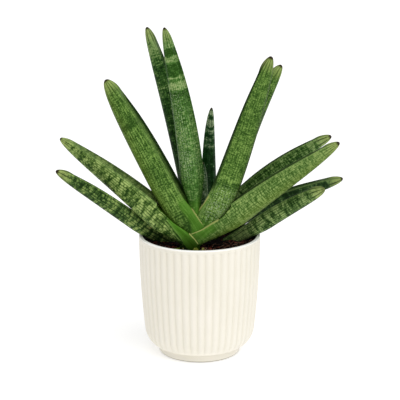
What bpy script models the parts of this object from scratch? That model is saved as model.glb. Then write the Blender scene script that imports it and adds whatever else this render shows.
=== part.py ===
# Potted sansevieria: thirteen finger-thick banded leaves in three fans, soil, and a ribbed cream pot.
# Units are metres and +Z is up. The origin is the middle of the pot's flat underside.
# The best view is from -Y, so "left" is -X and "front" is -Y.

import math

import bpy
import bmesh
from mathutils import Vector, noise

MM = 0.001

# Driving dimensions of the pot
POT_HEIGHT = 0.140
RIM_RADIUS = 0.070
WALL = 0.0043
FLOOR_TOP = 0.0100
FOOT_RADIUS = 0.0475
FOOT_HEIGHT = 0.0095
FOOT_EDGE = 0.0009
SIDE_TAPER = 0.0095
CORNER_WIDTH = 0.0130
CORNER_HEIGHT = 0.0190
LIP_BAND = 0.0055

# The ribs: how many, how deep, and the turn of the pot that puts them where they are seen
RIB_COUNT = 48
RIB_DEPTH = 0.0009
RIB_TURN = math.radians(-2.33)
RIB_FADE_LOW = (0.0125, 0.0175)
RIB_FADE_HIGH = 0.0060
POINTS_PER_RIB = 3
SMOOTH_SIDES = 72

# The pot's inside, from the rim down to its floor
INNER_SIDES = 36
INNER_HEIGHTS = (0.126, 0.080, 0.040, 0.024, 0.016, 0.012, FLOOR_TOP)

# The soil: level, relief, and the gap that neighbours keep
SOIL_LEVEL = 0.1320
SOIL_RELIEF = 0.0016
SOIL_BANK = 0.0025
CLEARANCE = 0.0003
NEST_CLEARANCE = 0.0004

# A blade's section as shares of its half sizes, across the fan and towards the inner side:
# round on its outer side, and a shallow channel between two rims on its inner side
BLADE_SECTION = (
    (1.00, 0.00), (0.95, 0.36), (0.74, 0.62), (0.38, 0.44), (0.00, 0.34), (-0.38, 0.44), (-0.74, 0.62),
    (-0.95, 0.36), (-1.00, 0.00), (-0.92, -0.38), (-0.71, -0.71), (-0.38, -0.92), (0.00, -1.00),
    (0.38, -0.92), (0.71, -0.71), (0.92, -0.38))
LEAF_SIDES = len(BLADE_SECTION)
LEAF_RINGS = 18
RING_CROWDING = 1.5
ACROSS_SHARE = 0.82

# A sheath's section is a rounded box, squarer as this nears 0, and it takes this many millimetres
# to turn into a blade
SHEATH_ROUNDNESS = 0.62
SHEATH_FADE = 45

# The channel closes towards the tip: where the section is round, and over how many millimetres more
# the channel comes in
ROUND_END = 8
ROUND_FADE = 30

CREAM = (0.83, 0.80, 0.72, 1.0)
SOIL_BROWN = (0.030, 0.018, 0.014, 1.0)
LEAF_GREEN = (0.075, 0.150, 0.040, 1.0)

# Each leaf runs on a curve from its root, which rises out of the soil, bends over and ends in its tip.
# These four points are in millimetres. width is the blade's and base_width the sheath's, both in the
# plane of the fan. blunt is how round the tip is. clasp is the sheath's half width the other way, and
# sheath its length. squeeze is the share of the outer side's width that is left at the root, and how
# far up it is back to 1. margin is the sheath's free edge in front, as points of x and z.
LEAVES = {
    "leaf_front_centre": dict(
        root=(-10, -25, 116), rise=(2, -24, 180), bend=(-9, -20, 271), tip=(-39, -14, 380),
        width=31.5, base_width=12.0, blunt=3.4, clasp=6.8, sheath=75),
    "leaf_front_right_tall": dict(
        root=(-12, -26, 117), rise=(26.5, -26, 182), bend=(48.5, -31, 278), tip=(78, -42, 352),
        width=37.5, base_width=34.0, blunt=2.8, clasp=8.6, sheath=55, squeeze=(0.05, 90),
        margin=((13.9, 206.5), (10.5, 199.6), (1.6, 182.6), (-2.9, 174.5), (-12, 157), (-40, 157))),
    "leaf_front_left_tall": dict(
        root=(13, -26, 117), rise=(-25, -25, 174), bend=(-59, -19, 255), tip=(-105, -8, 321),
        width=38.5, base_width=38.0, blunt=4.2, clasp=10.4, sheath=50, squeeze=(0.3, 55),
        margin=((-14, 197), (-11, 187), (-8.5, 180.2), (-6.3, 176.2), (-2.7, 170.6), (0.9, 165.0),
                (4.8, 160.3), (4, 150), (0, 135), (0, 100), (60, 100))),
    "leaf_front_right_low": dict(
        root=(-20.5, -26, 120.5), rise=(38, -28, 178), bend=(92, -38, 216), tip=(152, -62, 261),
        width=37.5, base_width=37.0, blunt=1.9, clasp=12.1, sheath=35, squeeze=(0.05, 86),
        margin=((35, 184), (27.5, 174), (24, 170.5), (20.6, 167.8), (13.9, 163.7), (9.4, 160.4),
                (3.4, 156.3), (-3.7, 152.9), (-9.9, 150.4), (-13, 148.5), (-13, 100), (-60, 100))),
    "leaf_front_left_low": dict(
        root=(4.5, -27, 120.5), rise=(-28, -27, 160), bend=(-87, -22, 210), tip=(-159, 8, 251),
        width=40.5, base_width=27.0, blunt=1.9, clasp=13.8, sheath=42, squeeze=(0.24, 84),
        margin=((-48, 183), (-44, 178), (-35, 169.5), (-28.7, 163.6), (-21.7, 158.7), (-16.3, 155.3),
                (-10.8, 150.9), (-4.5, 144.5), (-1.2, 139.9), (-3, 135), (-6, 130), (-6, 126), (40, 126))),
    "leaf_middle_young": dict(
        root=(3, 11, 117), rise=(4, 10, 166), bend=(4, 9, 200), tip=(3, 8, 224),
        width=17.0, base_width=12.0, blunt=3.0, clasp=6.0, sheath=30),
    "leaf_middle_right_tall": dict(
        root=(5, 13, 117), rise=(34, 14, 188), bend=(45, 17, 268), tip=(93, 22, 333),
        width=30.0, base_width=20.0, blunt=4.6, clasp=8.5, sheath=45),
    "leaf_middle_left_tall": dict(
        root=(3, 14, 118), rise=(-12, 15, 205), bend=(-29, 21, 297), tip=(-60, 30, 375),
        width=25.5, base_width=21.0, blunt=4.5, clasp=10.5, sheath=40),
    "leaf_middle_left_low": dict(
        root=(-18, 8, 117), rise=(-71, -5, 154), bend=(-112, -25, 197), tip=(-158, -52, 227),
        width=23.6, base_width=16.0, blunt=3.9, clasp=8.0, sheath=25, squeeze=(1.15, 80)),
    "leaf_middle_right_low": dict(
        root=(20, 13, 117), rise=(69, -4, 154.2), bend=(105, -14, 185), tip=(139, -44, 204.5),
        width=24.6, base_width=14.0, blunt=4.2, clasp=8.0, sheath=25, squeeze=(1.2, 80)),
    "leaf_back_young": dict(
        root=(11, 39, 118), rise=(13, 40, 172), bend=(8, 41, 226), tip=(14, 44, 280),
        width=21.0, base_width=13.0, blunt=2.7, clasp=6.5, sheath=30),
    "leaf_back_right_upper": dict(
        root=(13, 38, 118), rise=(27, 34, 176), bend=(95, 27, 224), tip=(151, 16, 252),
        width=23.0, base_width=20.0, blunt=5.0, clasp=8.5, sheath=40),
    "leaf_back_right_lower": dict(
        root=(20, 38, 117), rise=(38, 39, 161), bend=(120, 39, 183), tip=(168, 37, 197),
        width=22.6, base_width=18.0, blunt=3.8, clasp=8.8, sheath=40),
}

# The fans that share a root, each from its innermost leaf outwards. A leaf's sheath is wrapped round
# those named before it.
FANS = (
    ("leaf_front_centre", "leaf_front_right_tall", "leaf_front_left_tall", "leaf_front_right_low",
     "leaf_front_left_low"),
    ("leaf_middle_young", "leaf_middle_right_tall", "leaf_middle_left_tall", "leaf_middle_left_low",
     "leaf_middle_right_low"),
    ("leaf_back_young", "leaf_back_right_upper", "leaf_back_right_lower"),
)

# The leaves that stand in one hole in the soil. The others have a hole each.
SHARED_HOLES = (FANS[0], FANS[1][:3], FANS[2][:2])


def clear_scene():
    for obj in list(bpy.data.objects):
        bpy.data.objects.remove(obj, do_unlink=True)


def new_material(name, colour, roughness):
    material = bpy.data.materials.new(name)
    material.use_nodes = True
    shader = material.node_tree.nodes["Principled BSDF"]
    shader.inputs["Base Color"].default_value = colour
    shader.inputs["Roughness"].default_value = roughness
    shader.inputs["Metallic"].default_value = 0.0
    return material


def object_from_bmesh(name, mesh_data, material, sharp_angle=40):
    mesh = bpy.data.meshes.new(name)
    mesh_data.to_mesh(mesh)
    mesh_data.free()
    mesh.materials.append(material)
    mesh.shade_smooth()
    mesh.set_sharp_from_angle(angle=math.radians(sharp_angle))
    obj = bpy.data.objects.new(name, mesh)
    bpy.context.scene.collection.objects.link(obj)
    return obj


def smoothstep(value):
    value = min(max(value, 0.0), 1.0)
    return value * value * (3.0 - 2.0 * value)


def add_ring(mesh_data, sides, radius_at, height_at):
    """Add a ring of vertices that starts at a groove. radius_at and height_at take the angle."""
    ring = []
    for step in range(sides):
        angle = RIB_TURN + 2.0 * math.pi * step / sides
        radius = radius_at(angle)
        place = (radius * math.sin(angle), -radius * math.cos(angle), height_at(angle))
        ring.append(mesh_data.verts.new(place))
    return ring


def join_rings(mesh_data, lower, upper):
    """Join two rings with triangles, where one may have a whole multiple of the other's sides."""
    fine, coarse = (lower, upper) if len(lower) >= len(upper) else (upper, lower)
    ratio = len(fine) // len(coarse)
    for index, corner in enumerate(coarse):
        following = coarse[(index + 1) % len(coarse)]
        first = index * ratio
        for step in range(ratio):
            here = fine[(first + step) % len(fine)]
            there = fine[(first + step + 1) % len(fine)]
            near = corner if step < (ratio + 1) // 2 else following
            mesh_data.faces.new((here, there, near))
            if step == (ratio + 1) // 2 - 1:
                mesh_data.faces.new((there, following, corner))


def cap_ring(mesh_data, ring, place):
    middle = mesh_data.verts.new(place)
    for index, corner in enumerate(ring):
        mesh_data.faces.new((corner, ring[(index + 1) % len(ring)], middle))


# The pot's outline

def side_radius(height):
    """The gentle taper of the wall, widest at the rim."""
    return RIM_RADIUS - SIDE_TAPER * (1.0 - height / POT_HEIGHT) ** 2


def corner_inset(height, start, width, tall):
    """How far a quarter-ellipse corner draws the wall in, above its start."""
    rise = min(max((height - start) / tall, 0.0), 1.0)
    return width * (1.0 - math.sqrt(1.0 - (1.0 - rise) ** 2))


def outer_radius(height):
    return side_radius(height) - corner_inset(height, FOOT_HEIGHT, CORNER_WIDTH, CORNER_HEIGHT)


def inner_radius(height):
    inset = corner_inset(height, FLOOR_TOP, CORNER_WIDTH, CORNER_HEIGHT)
    return side_radius(height) - WALL - inset


def rib_strength(height):
    low = smoothstep((height - RIB_FADE_LOW[0]) / (RIB_FADE_LOW[1] - RIB_FADE_LOW[0]))
    high = smoothstep((POT_HEIGHT - LIP_BAND - height) / RIB_FADE_HIGH)
    return low * high


def rib_dip(angle):
    """0 on a rib's crest and 1 in the groove between two ribs, which are round with sharp grooves."""
    phase = ((angle - RIB_TURN) * RIB_COUNT / (2.0 * math.pi)) % 1.0
    return (2.0 * phase - 1.0) ** 2


def build_pot(material):
    pot = bmesh.new()

    def ribbed_ring(height):
        base = outer_radius(height)
        depth = RIB_DEPTH * rib_strength(height)
        return add_ring(
            pot, RIB_COUNT * POINTS_PER_RIB, lambda a: base - depth * rib_dip(a), lambda a: height)

    def plain_ring(sides, radius, height):
        return add_ring(pot, sides, lambda a: radius, lambda a: height)

    rings = [
        plain_ring(SMOOTH_SIDES, FOOT_RADIUS - FOOT_EDGE, 0.0),
        plain_ring(SMOOTH_SIDES, FOOT_RADIUS, FOOT_EDGE),
        plain_ring(SMOOTH_SIDES, FOOT_RADIUS, FOOT_HEIGHT),
    ]
    for above_foot in (0.0004, 0.0014):
        height = FOOT_HEIGHT + above_foot
        rings.append(plain_ring(SMOOTH_SIDES, outer_radius(height), height))

    ribs_top = POT_HEIGHT - LIP_BAND
    corner_top = FOOT_HEIGHT + CORNER_HEIGHT
    for height in (*RIB_FADE_LOW, corner_top - 0.006, corner_top, 0.050, 0.090):
        rings.append(ribbed_ring(height))
    for height in (ribs_top - RIB_FADE_HIGH, ribs_top):
        rings.append(ribbed_ring(height))

    for inward, down in ((0.0, 0.0022), (0.0006, 0.0005), (0.0015, 0.0), (0.0034, 0.0), (WALL, 0.0010)):
        rings.append(plain_ring(SMOOTH_SIDES, RIM_RADIUS - inward, POT_HEIGHT - down))

    for height in INNER_HEIGHTS:
        rings.append(plain_ring(INNER_SIDES, inner_radius(height), height))

    for lower, upper in zip(rings, rings[1:]):
        join_rings(pot, lower, upper)
    cap_ring(pot, rings[0], (0.0, 0.0, 0.0))
    cap_ring(pot, rings[-1], (0.0, 0.0, FLOOR_TOP))
    bmesh.ops.recalc_face_normals(pot, faces=pot.faces)
    return object_from_bmesh("pot", pot, material)


# The leaves

def leaf_point(leaf, t):
    root, rise, bend, tip = (Vector(leaf[key]) * MM for key in ("root", "rise", "bend", "tip"))
    s = 1.0 - t
    return root * s ** 3 + rise * 3 * s * s * t + bend * 3 * s * t * t + tip * t ** 3


def leaf_tangent(leaf, t):
    root, rise, bend, tip = (Vector(leaf[key]) * MM for key in ("root", "rise", "bend", "tip"))
    s = 1.0 - t
    return ((rise - root) * s * s + (bend - rise) * 2 * s * t + (tip - bend) * t * t).normalized()


def leaf_axes(leaf, t):
    """Along the blade, across the fan, and towards the channelled inner side of the leaf."""
    along = leaf_tangent(leaf, t)
    lean = Vector((leaf["tip"][0] - leaf["root"][0], leaf["tip"][1] - leaf["root"][1], 0.0)).normalized()
    inner = along.cross(Vector((0.0, 0.0, 1.0)).cross(lean)).normalized()
    return along, inner.cross(along), inner


def leaf_length(leaf, steps=40):
    points = [leaf_point(leaf, step / steps) for step in range(steps + 1)]
    return sum((b - a).length for a, b in zip(points, points[1:]))


def rounded_box(share):
    """Turn a circle's share of its radius into that of a box with round corners."""
    return math.copysign(abs(share) ** SHEATH_ROUNDNESS, share)


def leaf_section(leaf, t, length, grow):
    """The points round one section, as offsets across the fan and towards the inner side."""
    fullness = 0.5 * MM * math.sqrt(1.0 - t ** leaf["blunt"])
    blade = smoothstep((t * length / MM - leaf["sheath"]) / SHEATH_FADE)
    sheath = 1.0 - blade
    half_across = fullness * (2.0 * leaf["clasp"] * sheath + ACROSS_SHARE * leaf["width"] * blade) + grow
    half_inner = fullness * (leaf["base_width"] * sheath + leaf["width"] * blade)
    left_at_root, squeeze_end = leaf.get("squeeze", (1.0, 1.0))
    widening = smoothstep(t * length / MM / squeeze_end)
    half_outer = half_inner * (left_at_root + (1.0 - left_at_root) * widening)
    from_tip = (leaf_point(leaf, 1.0) - leaf_point(leaf, t)).length / MM
    channel = smoothstep((from_tip - ROUND_END) / ROUND_FADE)
    points = []
    for side, (blade_across, blade_inner) in enumerate(BLADE_SECTION):
        angle = 2.0 * math.pi * side / LEAF_SIDES
        if blade_inner > 0.0:
            blade_across = blade_across * channel + math.cos(angle) * (1.0 - channel)
            blade_inner = blade_inner * channel + math.sin(angle) * (1.0 - channel)
        across = rounded_box(math.cos(angle)) * sheath + blade_across * blade
        inner = rounded_box(math.sin(angle)) * sheath + blade_inner * blade
        half = (half_inner if inner > 0.0 else half_outer) + grow
        points.append((half_across * across, half * inner))
    return points


def leaf_solid(leaf, grow=0.0):
    """Sweep the section from root to tip. grow makes the same leaf a little fatter, to cut with."""
    solid = bmesh.new()
    length = leaf_length(leaf)
    rings = []
    for step in range(LEAF_RINGS):
        t = 1.0 - (1.0 - step / LEAF_RINGS) ** RING_CROWDING
        middle = leaf_point(leaf, t)
        along, across_axis, inner_axis = leaf_axes(leaf, t)
        if step == 0:
            middle = middle - along * (5.0 * grow)
        ring = []
        for across, inner in leaf_section(leaf, t, length, grow):
            ring.append(solid.verts.new(middle + across_axis * across + inner_axis * inner))
        rings.append(ring)
    for lower, upper in zip(rings, rings[1:]):
        for index in range(LEAF_SIDES):
            following = (index + 1) % LEAF_SIDES
            solid.faces.new((lower[index], lower[following], upper[following], upper[index]))
    cap_ring(solid, rings[0], leaf_point(leaf, 0.0) - leaf_tangent(leaf, 0.0) * (5.0 * grow))
    tip = leaf_point(leaf, 1.0) + leaf_tangent(leaf, 1.0) * grow
    cap_ring(solid, rings[-1], tip)
    bmesh.ops.recalc_face_normals(solid, faces=solid.faces)
    bmesh.ops.triangulate(solid, faces=solid.faces)
    return solid


def notch_solid(margin):
    """A prism over a sheath's free edge, which takes away all of the sheath above that edge."""
    above = 0.300
    outline = [(x * MM, z * MM) for x, z in margin]
    outline += [(margin[-1][0] * MM, above), (margin[0][0] * MM, above)]
    notch = bmesh.new()
    ends = []
    for y in (-0.080, 0.030):
        ends.append([notch.verts.new((x, y, z)) for x, z in outline])
    front, back = ends
    notch.faces.new(front)
    notch.faces.new(back[::-1])
    for index in range(len(outline)):
        following = (index + 1) % len(outline)
        notch.faces.new((front[index], back[index], back[following], front[following]))
    bmesh.ops.recalc_face_normals(notch, faces=notch.faces)
    bmesh.ops.triangulate(notch, faces=notch.faces)
    return notch


def biggest_piece(mesh_data):
    """Keep the largest connected piece and drop loose scraps."""
    unseen = set(mesh_data.verts)
    pieces = []
    while unseen:
        start = unseen.pop()
        piece = {start}
        frontier = [start]
        while frontier:
            vertex = frontier.pop()
            for edge in vertex.link_edges:
                other = edge.other_vert(vertex)
                if other in unseen:
                    unseen.discard(other)
                    piece.add(other)
                    frontier.append(other)
        pieces.append(piece)
    pieces.sort(key=len)
    scraps = [vertex for piece in pieces[:-1] for vertex in piece]
    bmesh.ops.delete(mesh_data, geom=scraps, context="VERTS")


def cut_away(obj, cutter_solids):
    """Take each cutter solid out of an object and leave one clean closed body."""
    for solid in cutter_solids:
        mesh = bpy.data.meshes.new("cutter")
        solid.to_mesh(mesh)
        solid.free()
        cutter = bpy.data.objects.new("cutter", mesh)
        bpy.context.scene.collection.objects.link(cutter)
        cut = obj.modifiers.new("cut", "BOOLEAN")
        cut.operation = "DIFFERENCE"
        cut.solver = "EXACT"
        cut.object = cutter
        bpy.context.view_layer.update()
        evaluated = obj.evaluated_get(bpy.context.evaluated_depsgraph_get())
        result = bpy.data.meshes.new_from_object(evaluated)
        obj.modifiers.remove(cut)
        bpy.data.objects.remove(cutter, do_unlink=True)
        cleaned = bmesh.new()
        cleaned.from_mesh(result)
        biggest_piece(cleaned)
        bmesh.ops.dissolve_degenerate(cleaned, dist=0.00001, edges=cleaned.edges)
        bmesh.ops.triangulate(cleaned, faces=cleaned.faces)
        cleaned.to_mesh(obj.data)
        cleaned.free()
        bpy.data.meshes.remove(result)
    obj.data.shade_smooth()
    obj.data.set_sharp_from_angle(angle=math.radians(40))


def build_leaf(name, inner_names, material):
    leaf = LEAVES[name]
    obj = object_from_bmesh(name, leaf_solid(leaf), material)
    cutters = [leaf_solid(LEAVES[inner], grow=NEST_CLEARANCE) for inner in inner_names]
    if "margin" in leaf:
        cutters.append(notch_solid(leaf["margin"]))
    cut_away(obj, cutters)
    return obj


# The soil

def soil_height(x, y):
    """A lumpy surface, banked up at the wall on the left and right."""
    lumps = noise.noise(Vector((x, y, 0.0)) * 95.0) + 0.5 * noise.noise(Vector((x, y, 0.02)) * 210.0)
    bank = smoothstep((abs(x) - 0.035) / 0.025)
    return SOIL_LEVEL + SOIL_RELIEF * lumps + SOIL_BANK * bank


def pocket_solid(names):
    """A plain pocket round the buried ends of some leaves: the hull of their lowest parts."""
    pocket = bmesh.new()
    ceiling = SOIL_LEVEL + 0.006
    for name in names:
        part = leaf_solid(LEAVES[name], grow=CLEARANCE)
        bmesh.ops.bisect_plane(
            part, geom=part.verts[:] + part.edges[:] + part.faces[:], dist=0.00001,
            plane_co=(0.0, 0.0, ceiling), plane_no=(0.0, 0.0, 1.0), clear_outer=True)
        for vertex in part.verts:
            pocket.verts.new(vertex.co)
        part.free()
    hull = bmesh.ops.convex_hull(pocket, input=pocket.verts[:])
    left_over = hull["geom_interior"] + hull["geom_unused"]
    spare = {item for item in left_over if isinstance(item, bmesh.types.BMVert)}
    bmesh.ops.delete(pocket, geom=list(spare), context="VERTS")
    bmesh.ops.recalc_face_normals(pocket, faces=pocket.faces)
    return pocket


def build_soil(material):
    soil = bmesh.new()
    rings = []
    for height in reversed(INNER_HEIGHTS[1:]):
        radius = inner_radius(height) - CLEARANCE
        level = max(height, FLOOR_TOP + CLEARANCE)
        rings.append(add_ring(soil, INNER_SIDES, lambda a, r=radius: r, lambda a, z=level: z))
    top_radius = inner_radius(SOIL_LEVEL) - CLEARANCE
    for share in (1.0, 0.88, 0.74, 0.58, 0.42, 0.26, 0.12):
        radius = top_radius * share
        rings.append(add_ring(
            soil, INNER_SIDES, lambda a, r=radius: r,
            lambda a, r=radius: soil_height(r * math.sin(a), -r * math.cos(a))))
    for lower, upper in zip(rings, rings[1:]):
        join_rings(soil, lower, upper)
    cap_ring(soil, rings[0], (0.0, 0.0, FLOOR_TOP + CLEARANCE))
    cap_ring(soil, rings[-1], (0.0, 0.0, soil_height(0.0, 0.0)))
    bmesh.ops.recalc_face_normals(soil, faces=soil.faces)
    obj = object_from_bmesh("soil", soil, material, sharp_angle=180)
    sharing = [name for names in SHARED_HOLES for name in names]
    holes = list(SHARED_HOLES) + [(name,) for name in LEAVES if name not in sharing]
    cut_away(obj, [pocket_solid(names) for names in holes])
    return obj


def main():
    clear_scene()
    build_pot(new_material("cream_pot", CREAM, 0.55))
    build_soil(new_material("potting_soil", SOIL_BROWN, 0.95))
    leaf_material = new_material("leaf_green", LEAF_GREEN, 0.45)
    for fan in FANS:
        for place, name in enumerate(fan):
            build_leaf(name, fan[:place], leaf_material)


main()
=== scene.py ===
# %% [markdown]
# # A potted sansevieria, dressed for its portrait
#
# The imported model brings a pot, a bed of soil and thirteen leaves as plain solids. This lesson makes a
# finer mesh and a real finish for each of them, piece by piece, then sets up the camera, light and floor.
# Everything is in metres, Z is up, and the viewer stands at -Y.

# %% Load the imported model
import math
import random

import bmesh
import bpy
import numpy as np
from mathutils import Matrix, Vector, noise
from mathutils.bvhtree import BVHTree


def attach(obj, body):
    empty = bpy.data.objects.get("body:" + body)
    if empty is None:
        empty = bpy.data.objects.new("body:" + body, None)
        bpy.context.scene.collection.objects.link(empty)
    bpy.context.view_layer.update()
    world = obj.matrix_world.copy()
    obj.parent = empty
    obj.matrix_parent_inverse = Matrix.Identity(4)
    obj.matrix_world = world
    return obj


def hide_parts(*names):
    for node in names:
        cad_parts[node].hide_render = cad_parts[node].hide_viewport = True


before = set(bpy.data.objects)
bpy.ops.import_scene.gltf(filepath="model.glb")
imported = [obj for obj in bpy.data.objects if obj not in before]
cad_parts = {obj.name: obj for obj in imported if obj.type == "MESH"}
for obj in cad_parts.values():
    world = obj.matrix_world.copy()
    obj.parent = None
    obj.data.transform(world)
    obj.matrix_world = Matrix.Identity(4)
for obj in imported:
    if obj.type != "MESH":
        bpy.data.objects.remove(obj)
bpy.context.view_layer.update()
print("nodes in the frame:", len(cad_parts))

# %% [markdown]
# Colours are easiest to choose as sRGB hex values, which is how a screen shows them, but shaders mix
# light in linear values. One function turns the first into the second. Another adds a shader node with
# its settings and links, so that a material below reads as a list of what it does.

# %% Colour and node helpers
MM = 0.001


def linear(hex_colour):
    """Turn an sRGB colour such as "8ca05a" into the linear colour that a shader socket takes."""
    shares = [int(hex_colour[i:i + 2], 16) / 255 for i in (0, 2, 4)]
    return (*[s / 12.92 if s <= 0.04045 else ((s + 0.055) / 1.055) ** 2.4 for s in shares], 1.0)


def add_node(tree, kind, sockets=None, stops=None, **settings):
    """Add one node. A socket takes a plain value, a node's first output, or a (node, output) pair."""
    node = tree.nodes.new("ShaderNode" + kind)
    for name, value in settings.items():
        setattr(node, name, value)
    for socket, source in (sockets or {}).items():
        if isinstance(source, bpy.types.Node):
            tree.links.new(source.outputs[0], node.inputs[socket])
        elif isinstance(source, tuple) and isinstance(source[0], bpy.types.Node):
            tree.links.new(source[0].outputs[source[1]], node.inputs[socket])
        else:
            node.inputs[socket].default_value = source
    for place, (position, colour) in enumerate(stops or ()):
        ramp = node.color_ramp.elements
        element = ramp[place] if place < 2 else ramp.new(position)
        element.position = position
        element.color = colour
    return node


def new_material(name):
    """An empty material and its node tree, ready for a shader."""
    material = bpy.data.materials.new(name)
    material.use_nodes = True
    material.node_tree.nodes.clear()
    return material, material.node_tree


def finish_material(tree, shader):
    add_node(tree, "OutputMaterial", {"Surface": shader})


def grey(value):
    return (value, value, value, 1.0)


def lay_over(tree, colour, share, paint):
    """Lay a second colour, in hex or from a node, over the first one where share is 1."""
    paint = linear(paint) if isinstance(paint, str) else paint
    return (add_node(tree, "Mix", {"Factor": share, 6: colour, 7: paint}, data_type="RGBA"), 2)


# %% [markdown]
# The photo was taken from a little above the rim with a long lens, so upright lines stay upright. The
# lens and distance below give each part of the plant the size that it has in the picture.

# %% Camera
CAMERA_DISTANCE = 1.5
CAMERA_TILT = math.radians(14.5)
CAMERA_TARGET = (0.0005, 0.0, 0.1805)
LENS = 117.7

camera = bpy.data.objects.new("camera", bpy.data.cameras.new("camera"))
camera.data.lens = LENS
camera.location = (
    CAMERA_TARGET[0],
    CAMERA_TARGET[1] - CAMERA_DISTANCE * math.cos(CAMERA_TILT),
    CAMERA_TARGET[2] + CAMERA_DISTANCE * math.sin(CAMERA_TILT))
camera.rotation_euler = (math.pi / 2 - CAMERA_TILT, 0.0, 0.0)
bpy.context.scene.collection.objects.link(camera)
bpy.context.scene.camera = camera
print("camera at", [round(value, 3) for value in camera.location])

# %% [markdown]
# The picture is a studio shot on white. A pale world stands for the white walls, and one very wide soft
# light comes from above, the front and the right. It shades one side of each rib, and leaves the pot's
# left side a little darker. The floor is white acrylic on a light table, lit from beneath, so only the
# shade close under the pot still shows.

# %% Light and floor
WORLD_STRENGTH = 0.60
SKY_LIGHT_FROM = (0.34, -0.48, 1.0)
SKY_LIGHT_STRENGTH = 1.65
SKY_LIGHT_SPREAD = math.radians(62)
FLOOR_SIZE = 14.0
FLOOR_LEVEL = -0.0001
FLOOR_WHITE = "d4d4d4"
FLOOR_GLOW = 0.48

scene = bpy.context.scene
scene.view_settings.view_transform = "Standard"
world = bpy.data.worlds.new("white_studio")
scene.world = world
world.use_nodes = True
world.node_tree.nodes["Background"].inputs["Color"].default_value = grey(1.0)
world.node_tree.nodes["Background"].inputs["Strength"].default_value = WORLD_STRENGTH

sky_light = bpy.data.objects.new("overhead_soft_light", bpy.data.lights.new("overhead_soft_light", "SUN"))
sky_light.data.energy = SKY_LIGHT_STRENGTH
sky_light.data.angle = SKY_LIGHT_SPREAD
sky_light.rotation_euler = Vector(SKY_LIGHT_FROM).to_track_quat("Z", "Y").to_euler()
scene.collection.objects.link(sky_light)

floor_mesh = bmesh.new()
half = FLOOR_SIZE / 2
floor_mesh.faces.new([floor_mesh.verts.new((x * half, y * half, FLOOR_LEVEL))
                      for x, y in ((-1, -1), (1, -1), (1, 1), (-1, 1))])
floor = bpy.data.objects.new("floor", bpy.data.meshes.new("floor"))
floor_mesh.to_mesh(floor.data)
floor_mesh.free()
scene.collection.objects.link(floor)
material, tree = new_material("white_acrylic_floor")
finish_material(tree, add_node(tree, "BsdfPrincipled", {
    "Base Color": linear(FLOOR_WHITE), "Roughness": 0.9, "Specular IOR Level": 0.1,
    "Emission Color": grey(1.0), "Emission Strength": FLOOR_GLOW}))
floor.data.materials.append(material)
print("floor", FLOOR_SIZE, "m wide")

# %% [markdown]
# Every fine mesh here is a stack of rings: the pot and soil are rings round the Z axis, and a leaf is
# rings along a curve. So one function turns an array of rings into a closed mesh. Another writes how far
# round and along each point of a leaf lies, in millimetres, as the map that its markings are drawn on.

# %% Rings to meshes
SKIN_MAP = "skin_mm"


def ring_mesh(name, rings, first_pole, last_pole):
    """Join rings, an array of (ring, side, xyz), into a closed mesh that faces outwards."""
    count, sides = rings.shape[:2]
    points = [*map(tuple, rings.reshape(-1, 3)), tuple(first_pole), tuple(last_pole)]
    first, last = count * sides, count * sides + 1
    top = (count - 1) * sides
    turns = [(side, (side + 1) % sides) for side in range(sides)]
    faces = []
    for low in range(0, top, sides):
        high = low + sides
        faces += [(low + side, low + following, high + following, high + side) for side, following in turns]
    for side, following in turns:
        faces.append((following, side, first))
        faces.append((top + side, top + following, last))
    mesh = bpy.data.meshes.new(name)
    mesh.from_pydata(points, [], faces)
    return mesh


def write_skin_map(mesh, around, along):
    """Write each point's place, by its side and its ring, with the seam and the two poles closed."""
    sides = len(around)
    first_pole = sides * (len(along) - 2)
    step = around[1] - around[0]
    skin = mesh.uv_layers.new(name=SKIN_MAP).data
    for face in mesh.polygons:
        columns = [corner % sides for corner in face.vertices if corner < first_pole]
        start = min(columns)
        wraps = start == 0 and max(columns) == sides - 1
        for loop in face.loop_indices:
            corner = mesh.loops[loop].vertex_index
            if corner >= first_pole:
                place = (around[start] + step / 2, along[0] if corner == first_pole else along[-1])
            else:
                side = corner % sides
                turn = around[side] + (step * sides if wraps and side == 0 else 0.0)
                place = (turn, along[1 + corner // sides])
            skin[loop].uv = place


# %% Pieces from meshes
SHORTEST_EDGE = 0.000005


def link_piece(name, mesh, material, node, sharp_angle=40):
    """Shade a finished mesh, link it under the root, and hide the CAD node of the same part if one is
    named.
    """
    mesh.materials.clear()
    mesh.materials.append(material)
    mesh.shade_smooth()
    mesh.set_sharp_from_angle(angle=math.radians(sharp_angle))
    obj = bpy.data.objects.new(name, mesh)
    scene.collection.objects.link(obj)
    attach(obj, "root")
    if node:
        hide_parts(node)
    print(name, "has", sum(len(face.vertices) - 2 for face in mesh.polygons), "triangles")
    return obj


def cut_away(mesh, cutters):
    """Take each closed mesh out of another one, and keep the largest piece that is left."""
    holder = bpy.data.objects.new("cutting", mesh)
    scene.collection.objects.link(holder)
    for cutter_mesh in cutters:
        cutter = bpy.data.objects.new("cutter", cutter_mesh)
        scene.collection.objects.link(cutter)
        cut = holder.modifiers.new("cut", "BOOLEAN")
        cut.operation = "DIFFERENCE"
        cut.solver = "MANIFOLD"
        cut.object = cutter
        bpy.context.view_layer.update()
        evaluated = holder.evaluated_get(bpy.context.evaluated_depsgraph_get())
        holder.data = bpy.data.meshes.new_from_object(evaluated)
        holder.modifiers.remove(cut)
        bpy.data.objects.remove(cutter, do_unlink=True)
        bpy.data.meshes.remove(cutter_mesh)
    result = holder.data
    bpy.data.objects.remove(holder, do_unlink=True)
    keep_biggest_piece(result)
    return result


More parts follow.
